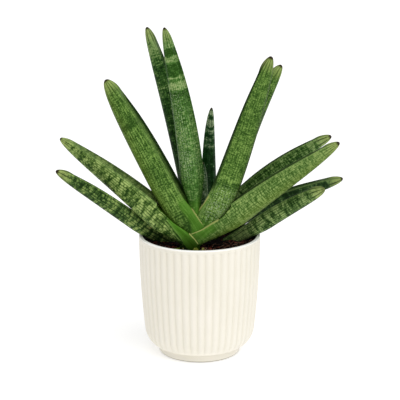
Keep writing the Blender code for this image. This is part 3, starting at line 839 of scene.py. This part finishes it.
class LeafSkin:
    """One leaf's node tree, and where a point lies, in millimetres round and along the leaf."""

    def __init__(self, name, seed):
        leaf = LEAVES[name]
        self.look = LOOKS[name]
        self.creased = "crease" in leaf
        self.seed = seed
        self.material, self.tree = new_material("waxy_banded_skin_" + name)
        places = add_node(self.tree, "SeparateXYZ", {0: add_node(self.tree, "UVMap", uv_map=SKIN_MAP)})
        self.around, self.along = (places, "X"), (places, "Y")
        self.from_tip = self.total(leaf_length(leaf), self.product(self.along, -1.0))
        # away is how far round the leaf a point lies, in turns from the keel, on the side away from
        # the viewer, and below 0 on the near side. turned is the same without its sign.
        far_side = 1.0 if leaf["tip"][0] > leaf["root"][0] else -1.0
        self.away = self.product(self.around, far_side / leaf_girth(leaf))
        self.turned = add_node(self.tree, "Math", {0: self.away}, operation="ABSOLUTE")

    def chain(self, operation, values):
        result = values[0]
        for value in values[1:]:
            result = add_node(self.tree, "Math", {0: result, 1: value}, operation=operation)
        return result

    def product(self, *values):
        return self.chain("MULTIPLY", values)

    def total(self, *values):
        return self.chain("ADD", values)

    def either(self, *values):
        """The largest of some shares, so that a layer shows where any of them does."""
        return self.chain("MAXIMUM", values)

    def soft_step(self, value, start, end, low=0.0, high=1.0):
        return add_node(self.tree, "MapRange", {
            "Value": value, "From Min": start, "From Max": end, "To Min": low, "To Max": high},
            interpolation_type="SMOOTHSTEP")

    def stretch(self, value, start, full, fade, end, strength=1.0):
        """A share that has its strength from full to fade, and falls to 0 at start and at end."""
        return self.product(
            self.soft_step(value, start, full), self.soft_step(value, fade, end, strength, 0.0))

    def noise(self, name, shift=0.0):
        """One of the noises, from -1 to 1."""
        round_size, along_size, detail, own_shift = NOISES[name]
        spot = add_node(self.tree, "CombineXYZ", {
            0: self.product(self.around, 1 / round_size), 1: self.product(self.along, 1 / along_size),
            2: self.seed + own_shift + shift})
        cloud = add_node(self.tree, "TexNoise", {
            "Vector": spot, "Scale": 1.0, "Detail": detail, "Roughness": 0.6})
        return add_node(self.tree, "MapRange", {
            "Value": cloud, "From Min": 0.32, "From Max": 0.68, "To Min": -1.0, "To Max": 1.0})

    def measured(self, attribute):
        """A distance in mm that was written on the mesh."""
        return (add_node(self.tree, "Attribute", attribute_name=attribute), "Fac")


# %% Dark lines
# A line is full up to the first share of a gap from its middle, and gone at the second. The tip's lines
# lie TIP_GAP times as far apart, and take over within TIP_LINES millimetres of the tip.
LINE_EDGE = (0.04, 0.26)
LINE_BREAKS = (-0.9, 0.3)
LINE_WOBBLE = 0.8
LINE_UNEVENNESS = 0.6
TIP_GAP = 2.6
TIP_LINES = (12.0, 32.0)
TIP_LINE_STRENGTH = 0.85


def dark_lines(skin):
    """Lines along the blade, with fewer at the tip, and a random number for each column between them."""
    gap, strength = skin.look["gap"], skin.look["lines"]
    wobble = skin.product(skin.noise("line_wobble"), LINE_WOBBLE)
    column_place = skin.product(skin.total(skin.around, wobble), 1 / gap)
    near_lines = []
    for place in (column_place, skin.product(skin.around, 1 / (TIP_GAP * gap))):
        edges = add_node(skin.tree, "TexVoronoi", {
            "W": place, "Scale": 1.0, "Randomness": LINE_UNEVENNESS},
            voronoi_dimensions="1D", feature="DISTANCE_TO_EDGE")
        near_lines.append(skin.soft_step((edges, "Distance"), *LINE_EDGE, 1.0, 0.0))
    column = add_node(skin.tree, "TexVoronoi", {
        "W": column_place, "Scale": 1.0, "Randomness": LINE_UNEVENNESS},
        voronoi_dimensions="1D", feature="F1")
    column_random = add_node(skin.tree, "SeparateColor", {0: (column, "Color")})
    breaks = skin.soft_step(skin.noise("line_breaks"), *LINE_BREAKS, 0.4 * strength, strength)
    on_blade = skin.product(near_lines[0], breaks, skin.soft_step(skin.from_tip, *TIP_LINES))
    at_tip = skin.product(near_lines[1], skin.soft_step(skin.from_tip, *TIP_LINES, TIP_LINE_STRENGTH, 0.0))
    return column_random, skin.either(on_blade, at_tip)


# %% Pale and dark tissue
CELL_LENGTH = 3.6
CELL_EDGE = (0.34, 0.66)
BAND_LENGTH = 13.0
BAND_WAVER = 5.0
TONE_WAVER = 2.5
RAMP_LENGTH = 340.0


def tissue_paleness(skin, column_random):
    """How pale each point is: the tone along the leaf, then bands, cells and fine mottling."""
    look = skin.look
    waver = skin.product(skin.noise("tone_waver"), look.get("waver", TONE_WAVER))
    tone_place = skin.product(skin.total(skin.from_tip, waver), 1 / RAMP_LENGTH)
    tone = add_node(skin.tree, "ValToRGB", {"Fac": tone_place}, stops=[
        (mm / RAMP_LENGTH, grey(tone)) for mm, tone in look["tones"]])
    band_place = skin.total(skin.along, skin.product(skin.noise("band_waver"), BAND_WAVER))
    band_turn = skin.product(band_place, 2 * math.pi / BAND_LENGTH)
    bands = add_node(skin.tree, "Math", {0: band_turn}, operation="SINE")
    cell_place = skin.total(skin.product(skin.along, 1 / CELL_LENGTH), skin.product(column_random, 90.0))
    cell_noise = add_node(skin.tree, "TexNoise", {
        "W": cell_place, "Scale": 1.0, "Detail": 1.0}, noise_dimensions="1D")
    patterns = (
        (bands, "band"),
        (skin.noise("blotches"), "band"),
        (skin.soft_step(cell_noise, *CELL_EDGE, -1.0, 1.0), "cell"),
        (skin.noise("streaks"), "streak"),
        (skin.noise("cross_marks"), "cross"),
        (skin.noise("grain"), "grain"))
    return skin.total(tone, *[skin.product(pattern, look[amount]) for pattern, amount in patterns])


# %% White flecks
# A zone of flecks fades in and out over FLECK_FADE millimetres. FLECK_SIDE is where the outer side ends,
# in turns round the leaf.
FLECK_FADE = 12
FLECK_SIDE = (0.22, 0.36)
FLECK_EDGE = (0.25, 0.80)


def fleck_layers(skin):
    """White specks, mostly on the outer side."""
    layers = []
    for start, end, strength in skin.look.get("flecks", ()):
        zone = skin.stretch(skin.from_tip, start, start + FLECK_FADE, end - FLECK_FADE, end)
        outer = skin.soft_step(skin.turned, *FLECK_SIDE, strength, 0.3 * strength)
        flecks = skin.soft_step(skin.noise("flecks", shift=start), *FLECK_EDGE)
        layers.append((skin.product(zone, outer, flecks), FLECK_WHITE))
    return layers


# %% Rims, channel and keel
# In turns round the leaf: the rims lie at 0.31 to 0.37, the channel beyond them and the keel at 0.
RIM_START = (0.325, 0.350)
CHANNEL_START = (0.362, 0.385)
FAR_LINE = (0.345, 0.370, 0.410, 0.440)
NEAR_LINE = (-0.340, -0.318)
OLIVE_SIDE = (0.08, 0.26)
KEEL_SIDE = (0.02, 0.08)
# In millimetres along the leaf
NEAR_LINE_FOOT = (80.0, 100.0)


def side_layers(skin):
    """A painted highlight on the rims, painted shade in the channel and as lines on the rims, and a tan
    outer side with painted shade along the keel.
    """
    look = skin.look
    # painted shade line beside the near rim, low on the leaf
    near_line = skin.product(
        skin.soft_step(skin.away, *NEAR_LINE, 1.0, 0.0),
        skin.soft_step(skin.along, *NEAR_LINE_FOOT, 0.0, look.get("near_line", 0.0)))
    return [
        # painted highlight on the rims
        (skin.soft_step(skin.turned, *RIM_START, 0.0, 0.3 * look.get("rim", 1.0)), RIM_HIGHLIGHT),
        # painted shade in the channel
        (skin.soft_step(skin.turned, *CHANNEL_START, 0.0, look.get("channel", 0.6)), CHANNEL_SHADE),
        # painted shade lines beside the far and near rims
        (skin.stretch(skin.away, *FAR_LINE, look.get("far_line", 0.5)), SHADOW_GREEN),
        (near_line, SHADOW_GREEN),
        (skin.soft_step(skin.turned, *OLIVE_SIDE, look.get("olive", 0.0), 0.0), SUN_OLIVE),
        # painted shade along the keel
        (skin.soft_step(skin.turned, *KEEL_SIDE, look.get("keel", 0.6), 0.0), KEEL_SHADE)]


# %% Sheath and its fold
# All in millimetres: along the leaf, from the sheath's free edge or across its fold.
SOIL_SHADE = (14.0, 44.0)
ROOT_FADE = 12.0
ROOT_WAVER = 5.0
EDGE_FADE = 3.0
EDGE_WAVER = 2.0
EDGE_END_FADE = 8.0
FOLD_FOOT = (54.0, 64.0)
FOLD_SHADE = (30.0, 52.0)
FOLD_EDGE = (-0.4, 0.4)
FOLD_RIDGE = (0.8, 1.5, 1.9, 2.6)
FOLD_LINE = (0.3, 1.0)


def sheath_layers(skin):
    """A smooth sheath, bright near its root and free edge, with painted shade where it enters the soil and,
    on a folded sheath, painted shadow along the fold and a painted highlight on the ridge beside it.
    """
    streaks = skin.soft_step(skin.noise("sheath_streaks"), -0.9, 0.9)
    base = lay_over(skin.tree, linear(BASE_GREEN), streaks, BASE_LIGHT)
    # painted shade on the sheath near the soil
    base = lay_over(skin.tree, base, skin.soft_step(skin.along, *SOIL_SHADE, 1.0, 0.0), SHEATH_ROOT_SHADE)
    root_reach, edge_reach, edge_end = skin.look["smooth"]
    waver = skin.noise("sheath_waver")
    near_root = skin.soft_step(skin.total(skin.along, skin.product(waver, ROOT_WAVER)),
                               root_reach - ROOT_FADE, root_reach + ROOT_FADE, 1.0, 0.0)
    if not skin.creased:
        near_edge = skin.product(
            skin.soft_step(skin.total(skin.measured("free_edge"), skin.product(waver, EDGE_WAVER)),
                           edge_reach - EDGE_FADE, edge_reach + EDGE_FADE, 1.0, 0.0),
            skin.soft_step(skin.along, edge_end - EDGE_END_FADE, edge_end + EDGE_END_FADE, 0.8, 0.0))
        return [(skin.either(near_root, near_edge), base)]
    fold = skin.measured("crease")
    beyond_fold = skin.product(
        skin.soft_step(fold, *FOLD_EDGE), skin.soft_step(skin.along, *FOLD_FOOT, 1.0, 0.0))
    from_fold = add_node(skin.tree, "Math", {0: fold}, operation="ABSOLUTE")
    return [
        # painted shade over the lowest part of the folded sheath
        (skin.soft_step(skin.along, *FOLD_SHADE, 0.6, 0.0), SHADOW_GREEN),
        (skin.either(near_root, beyond_fold), base),
        # painted highlight on the ridge beside the fold
        (skin.stretch(from_fold, *FOLD_RIDGE, 0.5), RIDGE_HIGHLIGHT),
        # painted shadow along the fold
        (skin.soft_step(from_fold, *FOLD_LINE, 0.6, 0.0), SHADOW_GREEN)]


# %% Tip and cream edge
TIP_PALING = (5.0, 20.0)
POINT_END = (1.2, 4.0)
CREAM_EDGE = (0.4, 1.1)


def tip_and_edge_layers(skin, lines):
    """A tip that pales, keeps its lines and ends in a brown point, and the sheath's cream cartilage."""
    look = skin.look
    between_lines = skin.total(1.0, skin.product(lines, -1.0))
    paling = skin.soft_step(skin.from_tip, *TIP_PALING, 0.55 * look.get("tip", 1.0), 0.0)
    return [
        (skin.product(paling, between_lines), TIP_PALE),
        (skin.soft_step(skin.from_tip, *POINT_END, look.get("cap", 1.0), 0.0), TIP_BROWN),
        (skin.soft_step(skin.measured("cream_edge"), *CREAM_EDGE, 1.0, 0.0), EDGE_CREAM)]


# %% Leaf finish
RELIEF_DEPTH = 0.25 * MM


def leaf_skin(name, seed):
    """The waxy cuticle of one leaf, with its tissue and every layer over it, from the lowest up."""
    skin = LeafSkin(name, seed)
    column_random, lines = dark_lines(skin)
    paleness = tissue_paleness(skin, column_random)
    colour = add_node(skin.tree, "ValToRGB", {"Fac": paleness}, stops=[
        (0.10, linear(skin.look["deep"])), (0.90, linear(skin.look["pale"])),
        (0.48, linear(skin.look["mid"]))])
    layers = (
        *fleck_layers(skin), (lines, skin.look["line"]), *side_layers(skin), *sheath_layers(skin),
        *tip_and_edge_layers(skin, lines))
    for share, paint in layers:
        colour = lay_over(skin.tree, colour, share, paint)
    wax = add_node(skin.tree, "MapRange", {"Value": paleness, "To Min": 0.52, "To Max": 0.44})
    height = skin.total(skin.product(skin.noise("swells"), 0.25), skin.product(lines, -1.0))
    relief = add_node(skin.tree, "Bump", {"Height": height, "Strength": 0.5, "Distance": RELIEF_DEPTH})
    finish_material(skin.tree, add_node(skin.tree, "BsdfPrincipled", {
        "Base Color": colour, "Roughness": wax, "Normal": relief, "IOR": 1.45, "Specular IOR Level": 0.07}))
    return skin.material


# %% Leaves
leaf_pieces = {}
for fan in FANS:
    for place, name in enumerate(fan):
        skin_material = leaf_skin(name, seed=10.0 * (len(leaf_pieces) + 1))
        leaf_pieces[name] = link_piece(name.replace("leaf", "banded_leaf"), build_leaf(name, fan[:place]),
                                       skin_material, name, sharp_angle=50)
print("leaves dressed:", len(leaf_pieces))

# %% [markdown]
# The potting mix is peat with bark. Its bed is a lumpy disc with room round each leaf, and the crumbs,
# bark chips and fibres on it are many small meshes joined into one piece each. They are scattered with
# a fixed seed, so the bed is the same on every run, and none is put where a leaf already stands.

# %% Soil bed
SOIL_LEVEL = 0.1320
SOIL_RELIEF = 0.0016
SOIL_BANK = 0.0025
BANK_START = 0.035
BANK_WIDTH = 0.025
SOIL_SIDES = 180
SOIL_HEIGHTS = (FLOOR_TOP + CLEARANCE, 0.012, 0.016, 0.024, 0.040, 0.080, 0.110, 0.122)
SOIL_STEPS = 56
# Waves in each metre of the bed, for its broad swells and for its lumps
SWELL_PITCH = (95.0, 210.0)
SWELL_SHIFT = Vector((0, 0, 0.02))
LUMP_PITCH = (420.0, 900.0)


def soil_height(x, y):
    """The bed's surface: broad swells and a bank at each side as in the solid, then lumps and crumb."""
    spot = Vector((x, y, 0.0))
    swell = noise.noise(spot * SWELL_PITCH[0]) + 0.5 * noise.noise((spot + SWELL_SHIFT) * SWELL_PITCH[1])
    lumps = 0.45 * noise.noise(spot * LUMP_PITCH[0]) + 0.22 * noise.noise(spot * LUMP_PITCH[1])
    bank = float(smoothstep((abs(x) - BANK_START) / BANK_WIDTH))
    return SOIL_LEVEL + SOIL_RELIEF * (swell + lumps) + SOIL_BANK * bank


def soil_rings():
    """Rings up the pot's wall, then inwards over the bumpy surface to the middle."""
    angles = 2 * math.pi * np.arange(SOIL_SIDES) / SOIL_SIDES
    circle = np.stack([np.sin(angles), -np.cos(angles)], 1)
    rings = []
    for height in SOIL_HEIGHTS:
        flat = circle * (inner_radius(height) - CLEARANCE)
        rings.append(np.column_stack([flat, np.full(SOIL_SIDES, height)]))
    for step in range(SOIL_STEPS):
        flat = circle * (inner_radius(SOIL_LEVEL) - CLEARANCE) * (1 - step / SOIL_STEPS)
        rings.append(np.column_stack([flat, [soil_height(x, y) for x, y in flat]]))
    return np.array(rings)


soil_mesh = ring_mesh("soil", soil_rings(), (0, 0, FLOOR_TOP + CLEARANCE), (0, 0, soil_height(0, 0)))
soil_mesh = cut_away(soil_mesh, [leaf_mesh(name, grow=CLEARANCE) for name in LEAVES])

# %% Soil finish
# Peat, bark, fibre and withered scales are all quite matt. tint is a random number for each crumb, and
# picks its colour between the darkest, the middle and the lightest one.
EARTHS = {
    "loose_damp_peat": ("070404", "100706", "2a1410"),
    "shredded_pine_bark": ("0d0605", "321610", "7c3c2a"),
    "dry_coir_fibre": ("2a1610", "643a2c", "a08268"),
    "withered_leaf_scale": ("344010", "5e6a20", "a08a60")}
CLOUD = 3 * MM
CRUMB = 0.8 * MM


def earth(name):
    dark, middle, light = (linear(shade) for shade in EARTHS[name])
    material, tree = new_material(name)
    place = add_node(tree, "TexCoord")
    tint = (add_node(tree, "Attribute", attribute_name="tint"), "Fac")
    cloud = add_node(tree, "TexNoise", {"Vector": (place, "Object"), "Scale": 1 / CLOUD, "Detail": 4.0})
    mixed = add_node(tree, "Math", {0: tint, 1: cloud}, operation="ADD")
    share = add_node(tree, "MapRange", {"Value": mixed, "From Min": 0.3, "From Max": 1.6})
    colour = add_node(tree, "ValToRGB", {"Fac": share}, stops=[(0.0, dark), (1.0, light), (0.5, middle)])
    crumb = add_node(tree, "TexNoise", {"Vector": (place, "Object"), "Scale": 1 / CRUMB, "Detail": 3.0})
    relief = add_node(tree, "Bump", {"Height": crumb, "Strength": 0.9, "Distance": 0.5 * MM})
    finish_material(tree, add_node(tree, "BsdfPrincipled", {
        "Base Color": colour, "Roughness": 0.95, "Normal": relief, "Specular IOR Level": 0.15}))
    return material


peat = earth("loose_damp_peat")
link_piece("soil_bed", soil_mesh, peat, "soil", sharp_angle=60)

# %% Lumps and threads
WALL_ROOM = 0.001
SEARCH_REACH = 0.02
leaf_trees = [search_tree(piece.data) for piece in leaf_pieces.values()]


def free_spot(chance, margin):
    """A random place on the soil that is clear of the leaves and of the pot's wall."""
    while True:
        radius = (inner_radius(SOIL_LEVEL) - WALL_ROOM - margin) * math.sqrt(chance.random())
        angle = chance.uniform(0.0, 2 * math.pi)
        x, y = radius * math.sin(angle), -radius * math.cos(angle)
        spot = Vector((x, y, soil_height(x, y)))
        nearest = [tree.find_nearest(spot, SEARCH_REACH) for tree in leaf_trees]
        if all(place is None or (gap >= margin and (spot - place).dot(normal) >= 0)
               for place, normal, _, gap in nearest):
            return spot


def lump(pieces, spot, size, stretch, chance, detail=1, facing=None, tint=None):
    """Add one irregular lump: a small ball pushed about by noise, stretched and turned."""
    made = bmesh.ops.create_icosphere(pieces, subdivisions=detail, radius=1.0)
    shift = Vector([chance.uniform(-50, 50) for _ in range(3)])
    facing = facing or [chance.uniform(-1, 1) for _ in range(3)]
    turn = Vector(facing).normalized().to_track_quat("Z", "Y")
    tint = chance.random() if tint is None else tint
    for vertex in made["verts"]:
        rough = 1.0 + 0.55 * noise.noise(vertex.co * 1.3 + shift)
        shaped = Vector([a * b for a, b in zip(vertex.co * rough, stretch)]) * size
        vertex.co = spot + turn @ shaped
        vertex[pieces.verts.layers.float["tint"]] = tint


def thread(pieces, points, radius, tint, sides=6):
    """Add a thin closed tube that follows points and narrows at both ends."""
    rings = []
    for index, point in enumerate(points):
        ahead = points[min(index + 1, len(points) - 1)] - points[max(index - 1, 0)]
        turn = ahead.to_track_quat("Z", "X")
        share = 1.0 - 0.6 * abs(2 * index / (len(points) - 1) - 1) ** 3
        ring = []
        for side in range(sides):
            angle = 2 * math.pi * side / sides
            offset = Vector((math.cos(angle), math.sin(angle), 0.0)) * radius * share
            ring.append(pieces.verts.new(point + turn @ offset))
            ring[-1][pieces.verts.layers.float["tint"]] = tint
        rings.append(ring)
    for lower, upper in zip(rings, rings[1:]):
        for side in range(sides):
            following = (side + 1) % sides
            pieces.faces.new((lower[side], lower[following], upper[following], upper[side]))
    pieces.faces.new(rings[0][::-1])
    pieces.faces.new(rings[-1])


# %% Crumbs, bark, fibres and scales
# A pale root stands up at the front, and withered scales stand at the foot of the fan. A scale has its
# place, width and height in millimetres and a tint, from olive at 0 to tan at 1.
CRUMBS = 900
CHIPS = 170
FIBRES = 120
FIBRE_ROOM = 0.006
FIBRE_POINTS = 8
FIBRE_STEP = 0.0013
FIBRE_ARCH = 0.0012
FIBRE_BEND = 0.35
ROOT_THICKNESS = 0.3 * MM
SUNK_SHARE = 0.25
ROOT_THREAD = (
    (5.7, -57.5, 131.0), (5.9, -57.0, 134.5), (6.2, -56.5, 137.0), (7.0, -56.0, 138.6),
    (8.4, -55.5, 139.6))
LEAF_SCALES = (
    (-4.0, -45.0, 133.6, 6.5, 6.0, 0.5), (-26.0, -43.0, 133.4, 9.0, 5.0, 0.2),
    (4.0, -44.0, 133.6, 3.5, 5.0, 0.6), (-18.5, -46.0, 136.2, 1.3, 1.3, 1.0),
    (-55.5, -13.0, 151.5, 4.5, 1.4, 0.8))
SCALE_FACING = (0.1, -1.0, 0.35)
SCATTER_SEED = 7


def new_heap():
    """An empty mesh in which each point can have a tint."""
    pieces = bmesh.new()
    pieces.verts.layers.float.new("tint")
    return pieces


def scatter_lumps(pieces, count, sizes, stretch, chance, detail=1):
    """Lumps of random sizes in mm, each sunk a little into the soil."""
    for _ in range(count):
        size = chance.uniform(*sizes) * MM
        spot = free_spot(chance, size)
        lump(pieces, spot - Vector((0, 0, SUNK_SHARE * size)), size, stretch, chance, detail)


def lay_fibres(pieces, chance):
    """Thin arched fibres that curl over the bed, and the one root that stands up."""
    for _ in range(FIBRES):
        spot = free_spot(chance, FIBRE_ROOM)
        heading = chance.uniform(0, 2 * math.pi)
        bend = chance.uniform(-FIBRE_BEND, FIBRE_BEND)
        points = []
        for step in range(FIBRE_POINTS):
            points.append(spot + Vector((0, 0, 0.0004 + chance.uniform(0.0, 0.0006))))
            spot = spot + Vector((math.cos(heading), math.sin(heading), 0)) * FIBRE_STEP
            arch = FIBRE_ARCH * math.sin(math.pi * step / (FIBRE_POINTS - 1))
            spot.z = soil_height(spot.x, spot.y) + arch
            heading += bend
        thread(pieces, points, chance.uniform(0.12, 0.24) * MM, chance.random())
    thread(pieces, [Vector(point) * MM for point in ROOT_THREAD], ROOT_THICKNESS, 1.0)


def lay_scales(pieces, chance):
    for x, y, z, width, height, tint in LEAF_SCALES:
        stretch = (0.5 * width, 0.5 * height, 0.5)
        lump(pieces, Vector((x, y, z)) * MM, MM, stretch, chance, 2, SCALE_FACING, tint)


chance = random.Random(SCATTER_SEED)
crumbs, chips, fibres, scales = (new_heap() for _ in range(4))
scatter_lumps(crumbs, CRUMBS, (0.6, 1.5), (1.0, 0.9, 0.8), chance)
scatter_lumps(chips, CHIPS, (1.2, 2.6), (1.2, 0.75, 0.4), chance, detail=2)
lay_fibres(fibres, chance)
lay_scales(scales, chance)
for name, pieces, material, sharp_angle in (
        ("peat_crumbs", crumbs, peat, 35),
        ("bark_chips", chips, earth("shredded_pine_bark"), 35),
        ("coir_fibres", fibres, earth("dry_coir_fibre"), 40),
        ("withered_scales", scales, earth("withered_leaf_scale"), 60)):
    mesh = bpy.data.meshes.new(name)
    pieces.to_mesh(mesh)
    pieces.free()
    link_piece(name, mesh, material, None, sharp_angle)
